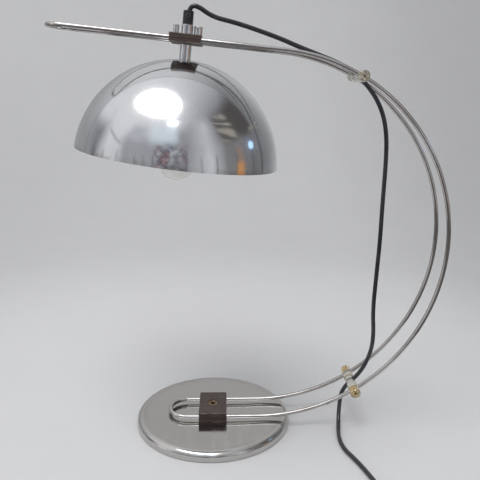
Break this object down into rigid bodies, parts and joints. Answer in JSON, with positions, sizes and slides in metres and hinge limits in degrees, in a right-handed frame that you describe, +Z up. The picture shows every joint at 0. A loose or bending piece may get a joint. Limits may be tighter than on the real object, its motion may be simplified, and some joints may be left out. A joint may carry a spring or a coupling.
{
  "type": "desk lamp",
  "caption": "Desk lamp: a chrome rod loop bent into a tall arc on a round steel base, with a half-dome shade hung from a sliding clamp block, cord threaded through clear spacers.",
  "frame": {"origin": "on the floor plane under the centre of the round base, at the middle of the base pad's underside", "axes": "+Z up; +X from the base towards the arc's bulge, with the shade overhanging to -X; +Y across the two rods, away from the side the picture was taken from"},
  "size_m": [0.5355, 0.4577, 0.587],
  "materials": {
    "brushed_stainless": "satin, brushed one way, polished rolled rim",
    "raw_iron": "rough cast",
    "felt": "felt",
    "dark_block": "satin dark brown",
    "brass_dull": "dull brass",
    "zinc": "zinc plated",
    "rod_chrome": "polished",
    "clear_acrylic": "clear, slightly yellowed",
    "brass_bright": "bright brass",
    "small_chrome": "polished",
    "black_plastic": "black, slight sheen",
    "shade_chrome": "polished, lightly worn",
    "holder_black": "moulded, glossy",
    "porcelain": "glazed",
    "bulb_aluminium": "plain",
    "bulb_clear": "clear",
    "cord_black": "smooth sheath, soft sheen",
    "switch_black": "fine grained",
    "rocker_black": "glossy",
    "pin_nickel": "nickel plated"
  },
  "bodies": {
    "stand": {"base_cover": "brushed_stainless", "base_weight": "raw_iron", "base_pad": "felt", "base_clamp_lower": "dark_block", "base_clamp_upper": "dark_block", "base_clamp_bolt": "brass_dull", "base_nut": "zinc", "base_washer": "zinc", "rod_loop": "rod_chrome", "rod_base_bend": "rod_chrome", "spacer_lower": "clear_acrylic", "spacer_upper": "clear_acrylic", "spacer_screws": "brass_bright", "cord_head_span": "cord_black", "cord_hang_run": "cord_black", "cord_floor_run": "cord_black", "switch_base": "switch_black", "switch_cover": "switch_black", "switch_pin": "zinc", "cord_lead": "cord_black", "cord_coil": "cord_black", "cord_tail": "cord_black", "plug_body": "switch_black", "plug_pins": "pin_nickel"},
    "carriage": {"carriage_lower": "dark_block", "carriage_upper": "dark_block", "carriage_screw": "small_chrome", "stem_lock_screw": "zinc"},
    "head": {"stem_tube": "small_chrome", "cord_grip": "black_plastic", "grip_screw": "zinc", "nipple": "brass_dull", "shade": "shade_chrome", "shade_nut": "zinc", "nipple_sleeve": "small_chrome", "holder_cap": "holder_black", "holder_shell": "holder_black", "holder_insert": "porcelain", "screw_shell": "brass_bright", "holder_contact": "brass_bright", "bulb_cap": "bulb_aluminium", "bulb_glass": "bulb_clear", "bulb_mount": "bulb_clear"},
    "knob": {"clamp_knob": "small_chrome"},
    "rocker": {"switch_rocker": "rocker_black"}
  },
  "joints": [
    {"name": "carriage_slide", "type": "slide", "parent": "stand", "child": "carriage", "axis": [0.9949, 0, -0.1011], "range_m": [-0.125, 0.1], "deforming": ["cord_head_span"]},
    {"name": "stem_swivel", "type": "hinge", "parent": "carriage", "child": "head", "pos_m": [-0.0304, 0, 0.54213], "axis": [0.1011, 0, 0.9949], "range_deg": [-150, 150]},
    {"name": "knob_turn", "type": "hinge", "parent": "carriage", "child": "knob", "pos_m": [-0.01526, 0, 0.55064], "axis": [0.1011, 0, 0.9949], "range_deg": [0, 360]},
    {"name": "rocker_tilt", "type": "hinge", "parent": "stand", "child": "rocker", "pos_m": [0.2218, -0.23441, 0.0146], "axis": [-0.9798, -0.2, 0], "range_deg": [0, 10.8]}
  ]
}
